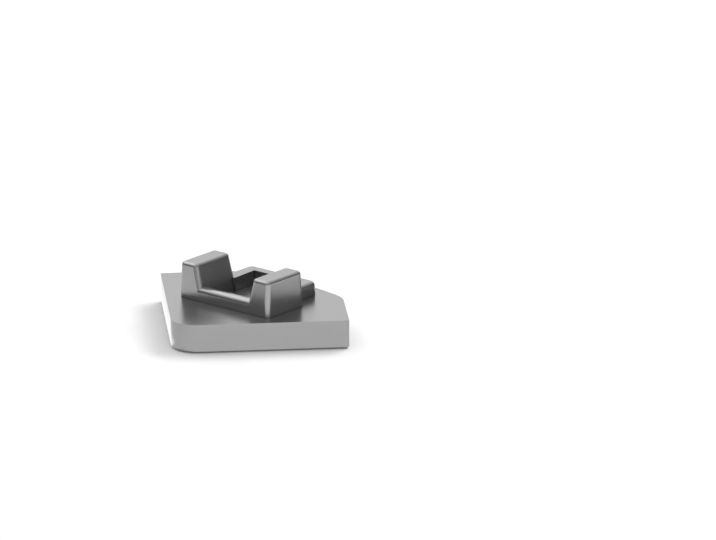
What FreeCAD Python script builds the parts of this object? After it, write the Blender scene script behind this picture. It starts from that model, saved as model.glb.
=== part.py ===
import FreeCAD, Part
import math
import os

from FreeCAD import Vector

# End cap for a right-angled corner profile with a bowed cover. One solid piece: a plate with the
# profile's own outline, and on it the plug that goes into the profile. Millimetres.
# Z = 0 is the outer face, which the cap lies on, and the plug points up. +Y runs along the plate's
# line of symmetry, from the right-angled corner to the crown of the bow. The origin is in the
# middle of the plate's length and width.

# Plate: the outline of the profile's end
leg_length = 19.0           # each outer side, from the sharp corner to the end of the leg
end_wall_height = 8.1       # each end of a leg, from the outer side to where it would meet the bow
bow_radius = 30.0
corner_radius = 2.85        # round of the right-angled corner
shoulder_radius = 3.6       # round between an end wall and the bow
tip_radius = 0.2            # edge at the end of each leg
plate_thickness = 3.15
face_rounding = 0.3         # runs round the outer face; the edge on the plug's side is sharp

# Collar: the low wall round the pocket, with the prongs rising from its two sides
corner_to_plug = 8.35       # from the sharp corner to the front of the plug, along the diagonal
collar_length = 10.15
collar_width = 9.55
collar_height = 1.5
collar_corner_radius = 0.8  # the two corners at the back
collar_rounding = 0.5
front_rounding = 0.6        # along the front wall, which is almost a half round on top
front_wall = 0.88
side_wall = 2.1             # at the front; the pocket widens towards the back
back_wall = 1.5
pocket_flare = 0.35         # how much further out each side of the pocket is at the back

# Prongs: the two high walls that grip inside the profile
prong_height = 3.98
prong_length = 6.0
prongs_width = 12.6         # over both prongs at their feet
prong_gap = 8.0             # between the prongs at their tops
prong_lean = 13.5           # degrees that each inner side leans out
prong_corner_radius = 0.5
prong_rounding = 0.37
gap_margin = 0.1            # from the gap's end in the collar to where the prongs' corners start to round

# Draft, in degrees
front_draft = 2.5           # the plug's front, which the collar and the prongs share
prong_side_draft = 0.7
prong_back_draft = 2.8
draft = 1.5                 # the collar's other sides, and the pocket

out_folder = "parts"
level_tolerance = 1e-4

# The bow is the arc between the tops of the two end walls. Its crown and centre lie on the diagonal.
half_chord = (leg_length - end_wall_height) / math.sqrt(2)
corner_to_chord = (leg_length + end_wall_height) / math.sqrt(2)
corner_to_crown = corner_to_chord + bow_radius - math.sqrt(bow_radius ** 2 - half_chord ** 2)
corner_to_front = corner_radius * (math.sqrt(2) - 1)
corner_y = -(corner_to_front + corner_to_crown) / 2

seat = plate_thickness
collar_top = seat + collar_height
prong_top = seat + prong_height


def place(across, along, height):
    """A point from its distances off the line of symmetry, along it from the sharp corner, and up."""
    return Vector(across, corner_y + along, height)


def rise(degrees, height):
    """How far a side moves sideways over a height."""
    return height * math.tan(math.radians(degrees))


def rectangle(left, right, front, back, height):
    """Four corners, anticlockwise from above."""
    return [
        place(left, front, height),
        place(right, front, height),
        place(right, back, height),
        place(left, back, height),
    ]


def flat_sided(foot, head):
    """A solid with flat sides between two rings of corners."""
    rings = [foot[::-1], head]
    for here in range(len(foot)):
        after = (here + 1) % len(foot)
        rings.append([foot[here], foot[after], head[after], head[here]])
    shell = Part.Shell([Part.Face(Part.makePolygon(ring + ring[:1])) for ring in rings])
    shell.sewShape()
    return Part.Solid(shell)


def upright_edges(solid):
    return [edge for edge in solid.Edges if edge.BoundBox.ZLength > edge.Length / 2]


def edges_at(solid, height):
    """The edges that lie level at this height."""
    return [
        edge for edge in solid.Edges
        if max(abs(edge.BoundBox.ZMin - height), abs(edge.BoundBox.ZMax - height)) < level_tolerance
    ]


def distance_along(edge):
    return edge.CenterOfMass.y


def round_corner(solid, corner, radius):
    """Round the upright edge that stands on this corner."""
    edges = [
        edge for edge in upright_edges(solid)
        if min(vertex.Point.distanceToPoint(corner) for vertex in edge.Vertexes) < level_tolerance
    ]
    return solid.makeFillet(radius, edges)


def make_plate():
    """The profile's outline, extruded, with its corners and the edge of its outer face rounded."""
    leg_end = leg_length / math.sqrt(2)
    sharp_corner = place(0, 0, 0)
    right_tip = place(leg_end, leg_end, 0)
    right_shoulder = place(half_chord, corner_to_chord, 0)
    crown = place(0, corner_to_crown, 0)
    left_shoulder = place(-half_chord, corner_to_chord, 0)
    left_tip = place(-leg_end, leg_end, 0)
    outline = Part.Wire([
        Part.makeLine(sharp_corner, right_tip),
        Part.makeLine(right_tip, right_shoulder),
        Part.Arc(right_shoulder, crown, left_shoulder).toShape(),
        Part.makeLine(left_shoulder, left_tip),
        Part.makeLine(left_tip, sharp_corner),
    ])
    body = Part.Face(outline).extrude(Vector(0, 0, plate_thickness))
    body = round_corner(body, sharp_corner, corner_radius)
    for tip in (right_tip, left_tip):
        body = round_corner(body, tip, tip_radius)
    for shoulder in (right_shoulder, left_shoulder):
        body = round_corner(body, shoulder, shoulder_radius)
    return body.makeFillet(face_rounding, edges_at(body, 0))


def make_collar():
    """The collar before its pocket is cut: a block that narrows upwards."""
    side = collar_width / 2
    front = corner_to_plug
    back = corner_to_plug + collar_length
    front_inset = rise(front_draft, collar_height)
    inset = rise(draft, collar_height)
    foot = rectangle(-side, side, front, back, seat)
    head = rectangle(inset - side, side - inset, front + front_inset, back - inset, collar_top)
    block = flat_sided(foot, head)
    for back_corner in foot[2:]:
        block = round_corner(block, back_corner, collar_corner_radius)
    sides_and_back = sorted(edges_at(block, collar_top), key=distance_along)[1:]
    block = block.makeFillet(collar_rounding, sides_and_back)
    front_edge = min(edges_at(block, collar_top), key=distance_along)
    return block.makeFillet(front_rounding, [front_edge])


def make_pocket():
    """The space inside the collar, down to the plate. It widens upwards and towards the back."""
    front_side = collar_width / 2 - side_wall
    back_side = front_side + pocket_flare
    front = corner_to_plug + front_wall
    back = corner_to_plug + collar_length - back_wall
    outset = rise(draft, collar_height)
    skew = outset * pocket_flare / (back - front)       # keeps each side flat
    foot = [
        place(-front_side, front, seat),
        place(front_side, front, seat),
        place(back_side, back, seat),
        place(-back_side, back, seat),
    ]
    head = [
        place(skew - outset - front_side, front - outset, collar_top),
        place(front_side + outset - skew, front - outset, collar_top),
        place(back_side + outset + skew, back + outset, collar_top),
        place(-back_side - outset - skew, back + outset, collar_top),
    ]
    return flat_sided(foot, head)


def inner_side(height):
    """How far each prong's inner side is from the line of symmetry, at a height above the plate."""
    return prong_gap / 2 - rise(prong_lean, prong_height - height)


def make_prong():
    """The right-hand prong. It stands on the collar's side and on the plate beside it."""
    outer = prongs_width / 2
    front = corner_to_plug
    back = corner_to_plug + prong_length
    top_outer = outer - rise(prong_side_draft, prong_height)
    top_front = front + rise(front_draft, prong_height)
    top_back = back - rise(prong_back_draft, prong_height)
    foot = rectangle(inner_side(0), outer, front, back, seat)
    head = rectangle(inner_side(prong_height), top_outer, top_front, top_back, prong_top)
    prong = flat_sided(foot, head)
    prong = prong.makeFillet(prong_corner_radius, upright_edges(prong))
    return prong.makeFillet(prong_rounding, edges_at(prong, prong_top))


def make_gap():
    """The space between the prongs, whose inner sides run on down through the collar to the plate.

    It starts at the pocket's front and ends just short of the prongs' rounded back corners.
    """
    front = corner_to_plug + front_wall
    back = corner_to_plug + prong_length - prong_corner_radius - gap_margin
    top_front = front - rise(draft, collar_height)
    top_back = back - rise(prong_back_draft, collar_height)
    foot_side = inner_side(0)
    top_side = inner_side(collar_height)
    foot = rectangle(-foot_side, foot_side, front, back, seat)
    head = rectangle(-top_side, top_side, top_front, top_back, collar_top)
    return flat_sided(foot, head)


right_prong = make_prong()
left_prong = right_prong.mirror(Vector(0, 0, 0), Vector(1, 0, 0))
outer_form = make_plate().fuse([make_collar(), right_prong, left_prong])
end_cap = outer_form.cut([make_pocket(), make_gap()]).removeSplitter()

os.makedirs(out_folder, exist_ok=True)
end_cap.exportStep(os.path.join(out_folder, "end_cap.step"))
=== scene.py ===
import math

import bpy
from mathutils import Matrix, Vector

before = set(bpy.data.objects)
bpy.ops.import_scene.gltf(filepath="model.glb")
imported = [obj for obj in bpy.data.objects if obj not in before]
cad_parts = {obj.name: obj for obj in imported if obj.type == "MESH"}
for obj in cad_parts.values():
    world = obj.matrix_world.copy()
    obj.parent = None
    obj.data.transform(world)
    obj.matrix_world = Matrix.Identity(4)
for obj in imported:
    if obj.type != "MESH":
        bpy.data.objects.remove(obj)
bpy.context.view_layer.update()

# End cap. One piece: a plate that covers the cut end of a corner profile, with a plug of a low collar
# and two prongs on it. It is cast and then tumbled, so it is one grey metal all over, smooth and satin,
# with no tool marks and with every edge of the plug slightly broken.

MILLIMETRE = 0.001


def linear(hex_colour):
    """An sRGB hex colour as the linear RGBA that a shader takes."""
    parts = [int(hex_colour[i:i + 2], 16) / 255 for i in (1, 3, 5)]
    return [c / 12.92 if c <= 0.04045 else ((c + 0.055) / 1.055) ** 2.4 for c in parts] + [1.0]


def add_node(tree, kind, links=None, settings=None, **values):
    """A node with its settings, its values by input name, and what feeds each input."""
    node = tree.nodes.new(kind)
    for name, value in (settings or {}).items():
        setattr(node, name, value)
    for name, value in values.items():
        node.inputs[name.replace("_", " ")].default_value = value
    for name, source in (links or {}).items():
        tree.links.new(source, node.inputs[name])
    return node


def empty_material(name):
    """A new material with no nodes in it yet."""
    material = bpy.data.materials.new(name)
    material.use_nodes = True
    material.node_tree.nodes.clear()
    return material


def tumbled_cast_metal():
    """Die-cast aluminium alloy, tumbled in fine media.

    Tumbling leaves no direction and no sparkle: a soft grey reflection, slightly blurred, which is a
    little duller in some patches than in others. The inner corners, mostly round the foot of the plug,
    are painted darker in a thin line: painted shade, where the surface is closed in. The dents of the
    grit are about 0.05 mm across, too fine for the picture, so they are drawn 0.2 mm across and very
    shallow.
    """
    patch = 4.0 * MILLIMETRE
    grit = 0.2 * MILLIMETRE
    dent_depth = 0.01 * MILLIMETRE
    dent_strength = 0.05
    painted_shade_reach = 0.35 * MILLIMETRE      # how far out of an inner corner the painted shade reaches
    corner_openness = 0.5               # of a square inner corner, where 1 is an open face; the painted shade is darkest from here down
    unshaded_openness = 0.8                 # from here outwards there is no painted shade
    painted_shade_tone = 0.6                     # the painted shade's brightness as a share of the metal's
    material = empty_material("tumbled_cast_metal")
    tree = material.node_tree
    place = add_node(tree, "ShaderNodeTexCoord").outputs["Object"]
    patches = add_node(tree, "ShaderNodeTexNoise", {"Vector": place}, Scale=1 / patch, Detail=2.0)
    dents = add_node(tree, "ShaderNodeTexNoise", {"Vector": place}, Scale=1 / grit, Detail=1.0)
    colour = add_node(tree, "ShaderNodeMix", {"Factor": patches.outputs["Fac"]},
                      {"data_type": "RGBA"})
    colour.inputs["A"].default_value = linear("#A6A6A6")
    colour.inputs["B"].default_value = linear("#A9A9A9")
    # Painted shade: the metal's colour is darkened in a thin line in the inner corners, where the
    # ambient occlusion finds the surface closed in.
    openness = add_node(tree, "ShaderNodeAmbientOcclusion",
                        settings={"only_local": True, "samples": 8}, Distance=painted_shade_reach)
    painted_shade = add_node(tree, "ShaderNodeMapRange", {"Value": openness.outputs["AO"]},
                    From_Min=corner_openness, From_Max=unshaded_openness,
                    To_Min=painted_shade_tone, To_Max=1.0)
    tone = add_node(tree, "ShaderNodeVectorMath",
                    {0: colour.outputs["Result"], 1: painted_shade.outputs["Result"]},
                    {"operation": "MULTIPLY"})
    dullness = add_node(tree, "ShaderNodeMapRange", {"Value": patches.outputs["Fac"]},
                        To_Min=0.24, To_Max=0.28)
    relief = add_node(tree, "ShaderNodeBump", {"Height": dents.outputs["Fac"]},
                      Strength=dent_strength, Distance=dent_depth)
    metal = add_node(tree, "ShaderNodeBsdfPrincipled",
                     {"Base Color": tone.outputs["Vector"],
                      "Roughness": dullness.outputs["Result"],
                      "Normal": relief.outputs["Normal"]},
                     Metallic=1.0)
    add_node(tree, "ShaderNodeOutputMaterial", {"Surface": metal.outputs["BSDF"]})
    return material


end_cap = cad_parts["end_cap"]
cap_metal = tumbled_cast_metal()
for slot in end_cap.material_slots:
    slot.material = cap_metal

# Table. A plain white sheet under the cap, with only the cap's own soft shadow on it. It is not part
# of the cap.

table_size = 3.0
table_drop = 0.06 * MILLIMETRE      # clear of the outer face, which lies in the same plane
table_glow = 0.05                   # brings the open sheet up to plain white, and lights nothing


def seen_directly(tree):
    """1 for what the camera or the metal sees, and 0 for the light that a thing gives the table."""
    ray = add_node(tree, "ShaderNodeLightPath")
    return add_node(tree, "ShaderNodeMath",
                    {0: ray.outputs["Is Camera Ray"], 1: ray.outputs["Is Glossy Ray"]},
                    {"operation": "MAXIMUM"}).outputs["Value"]


bpy.ops.mesh.primitive_plane_add(size=table_size, location=(0, 0, -table_drop))
table = bpy.context.object
table.name = "table"
white_sheet = empty_material("white_sheet")
tree = white_sheet.node_tree
glow_strength = add_node(tree, "ShaderNodeMapRange", {"Value": seen_directly(tree)},
                         To_Min=0.0, To_Max=table_glow)
lit = add_node(tree, "ShaderNodeBsdfDiffuse", Color=linear("#F3F3F3"))
glow = add_node(tree, "ShaderNodeEmission", {"Strength": glow_strength.outputs["Result"]})
both = add_node(tree, "ShaderNodeAddShader", {0: lit.outputs["BSDF"], 1: glow.outputs["Emission"]})
add_node(tree, "ShaderNodeOutputMaterial", {"Surface": both.outputs["Shader"]})
table.data.materials.append(white_sheet)

# Surround. The white room that the camera and the metal see, and that lights the table. The table gets
# a little less than white from it, because the lamps add their share.

room_light = 0.955

surround = bpy.data.worlds.new("surround")
bpy.context.scene.world = surround
surround.use_nodes = True
tree = surround.node_tree
tree.nodes.clear()
strength = add_node(tree, "ShaderNodeMapRange", {"Value": seen_directly(tree)},
                    To_Min=room_light, To_Max=1.0)
white = add_node(tree, "ShaderNodeBackground", {"Strength": strength.outputs["Result"]},
                 Color=linear("#FFFFFF"))
add_node(tree, "ShaderNodeOutputWorld", {"Surface": white.outputs["Background"]})

# Screens. Curved grey cards round the cap, which the camera doesn't see and the metal mirrors, so that
# its upright faces have depth. Those that stand a third of a metre away or more also take some light
# off the table. The small ones within a few centimetres don't.

small_screen = 0.1                  # metres: nearer than this, a screen takes no light off the table


def towards(bearing, elevation):
    """The direction from the cap to a bearing and an elevation, in degrees.

    Bearings are counted as the camera's is, which stands at 40.
    """
    turn, lift = math.radians(bearing), math.radians(elevation)
    return Vector((
        math.sin(turn) * math.cos(lift),
        -math.cos(turn) * math.cos(lift),
        math.sin(lift),
    ))


def screen(name, distance, bearings, elevations, level):
    """A curved card that faces the cap between two bearings and two elevations."""
    across, up = 24, 8
    corners = [
        towards(bearings[0] + (bearings[1] - bearings[0]) * i / across,
                elevations[0] + (elevations[1] - elevations[0]) * j / up) * distance
        for j in range(up + 1) for i in range(across + 1)
    ]
    quads = [
        (k, k + 1, k + across + 2, k + across + 1)
        for j in range(up) for k in range(j * (across + 1), j * (across + 1) + across)
    ]
    mesh = bpy.data.meshes.new(name)
    mesh.from_pydata(corners, [], quads)
    card = bpy.data.objects.new(name, mesh)
    bpy.context.scene.collection.objects.link(card)
    grey = empty_material(name)
    shade = add_node(grey.node_tree, "ShaderNodeEmission", Strength=level)
    add_node(grey.node_tree, "ShaderNodeOutputMaterial", {"Surface": shade.outputs["Emission"]})
    mesh.materials.append(grey)
    card.visible_camera = False
    card.visible_diffuse = distance > small_screen
    card.visible_shadow = False


screen("room_screen", distance=0.50, bearings=(0, 180), elevations=(-2, 60), level=0.51)
screen("front_left_screen", distance=0.48, bearings=(280, 360), elevations=(-3, 34), level=0.50)
screen("front_left_flag", distance=0.40, bearings=(288, 352), elevations=(-3, 23), level=0.16)
screen("front_left_low", distance=0.042, bearings=(292, 360), elevations=(0, 6), level=0.08)
screen("front_low", distance=0.024, bearings=(328, 358), elevations=(0, 7), level=0.6)
screen("front_flag", distance=0.38, bearings=(-8, 36), elevations=(-2, 22), level=0.28)
screen("front_right_panel", distance=0.36, bearings=(44, 108), elevations=(-3, 10), level=0.88)
screen("right_far_flag", distance=0.36, bearings=(110, 172), elevations=(-6, 24), level=0.15)
screen("right_flag", distance=0.020, bearings=(135, 172), elevations=(0, 30), level=0.15)
screen("right_low", distance=0.020, bearings=(106, 135), elevations=(0, 9), level=0.65)

# Bounce cards. Strips of white card that lie on the table along the plate's two long sides and at the
# corner between them. The metal alone sees them: they keep those sides light down to their lower edges,
# beside a table that the cap shades, and give the table no light.

side_distance = 7.548               # millimetres from the origin to each of the two long sides


def bounce_card(name, side, leg, out, along, level):
    """A strip that faces up, in millimetres out from a side and along the leg, each on its bearing."""
    middle = towards(side, 0) * (side_distance + sum(out) / 2) + towards(leg, 0) * sum(along) / 2
    middle = middle * MILLIMETRE
    middle.z = -table_drop / 2
    bpy.ops.mesh.primitive_plane_add(size=1, location=middle, rotation=(0, 0, math.radians(side)))
    card = bpy.context.object
    card.name = name
    card.scale = ((along[1] - along[0]) * MILLIMETRE, (out[1] - out[0]) * MILLIMETRE, 1)
    paper = empty_material(name)
    tree = paper.node_tree
    by_table = add_node(tree, "ShaderNodeLightPath").outputs["Diffuse Depth"]
    strength = add_node(tree, "ShaderNodeMapRange", {"Value": by_table}, To_Min=level, To_Max=0.0)
    shade = add_node(tree, "ShaderNodeEmission", {"Strength": strength.outputs["Result"]})
    add_node(tree, "ShaderNodeOutputMaterial", {"Surface": shade.outputs["Emission"]})
    card.data.materials.append(paper)
    card.visible_camera = False
    card.visible_diffuse = False
    card.visible_shadow = False


bounce_card("left_bounce", side=315, leg=225, out=(-0.2, 2.2), along=(-4.6, 28), level=1.65)
bounce_card("corner_bounce", side=315, leg=225, out=(0, 2.2), along=(-14, -4.6), level=0.9)
bounce_card("left_apron", side=315, leg=225, out=(2.2, 16), along=(-14, 24), level=0.88)
bounce_card("near_bounce", side=45, leg=135, out=(0, 12.5), along=(-20, 28), level=0.93)

# Lamps. Two broad soft boxes above and behind the cap. The one on the left lights the metal too. The
# one on the right lights the table past the cap, which gives the soft shadow in front and on the left,
# and the metal doesn't mirror it.

lamp_distance = 0.6


def soft_box(name, bearing, elevation, width, height, power):
    """A lit rectangle that faces the cap."""
    lamp = bpy.data.lights.new(name, "AREA")
    lamp.shape = "RECTANGLE"
    lamp.size = width
    lamp.size_y = height
    lamp.energy = power
    box = bpy.data.objects.new(name, lamp)
    bpy.context.scene.collection.objects.link(box)
    away = towards(bearing, elevation)
    box.location = away * lamp_distance
    box.rotation_mode = "QUATERNION"
    box.rotation_quaternion = away.to_track_quat("Z", "Y")
    return box


soft_box("left_box", bearing=262, elevation=50, width=0.5, height=0.28, power=0.35)
table_box = soft_box("table_box", bearing=163, elevation=45, width=0.55, height=0.25, power=2.2)
table_box.visible_glossy = False

# Camera. A long lens, so that the cap's upright edges stay almost parallel in the picture. It aims to
# the right of the cap, which lies left of the middle.

picture_width = 716                 # pixels
focal_pixels = 10000                # focal length in widths of one pixel of the picture
sensor_width = 36.0
nearest_seen = 0.01
farthest_seen = 10.0
camera_bearing = 40.247
camera_elevation = 17.414
camera_roll = math.radians(-0.407)
camera_distance = 1063.72 * MILLIMETRE
camera_aim = Vector((17.033, 0.0, 10.180)) * MILLIMETRE

lens = bpy.data.cameras.new("camera")
lens.sensor_width = sensor_width
lens.lens = focal_pixels * sensor_width / picture_width
lens.clip_start = nearest_seen
lens.clip_end = farthest_seen
camera = bpy.data.objects.new("camera", lens)
bpy.context.scene.collection.objects.link(camera)
back = towards(camera_bearing, camera_elevation)
right = towards(camera_bearing + 90, 0)
up = back.cross(right)
rolled_right = right * math.cos(camera_roll) + up * math.sin(camera_roll)
rolled_up = up * math.cos(camera_roll) - right * math.sin(camera_roll)
camera.matrix_world = Matrix.Translation(camera_aim + back * camera_distance) @ Matrix(
    (rolled_right, rolled_up, back)).transposed().to_4x4()
bpy.context.scene.camera = camera

bpy.context.scene.view_settings.view_transform = "Standard"
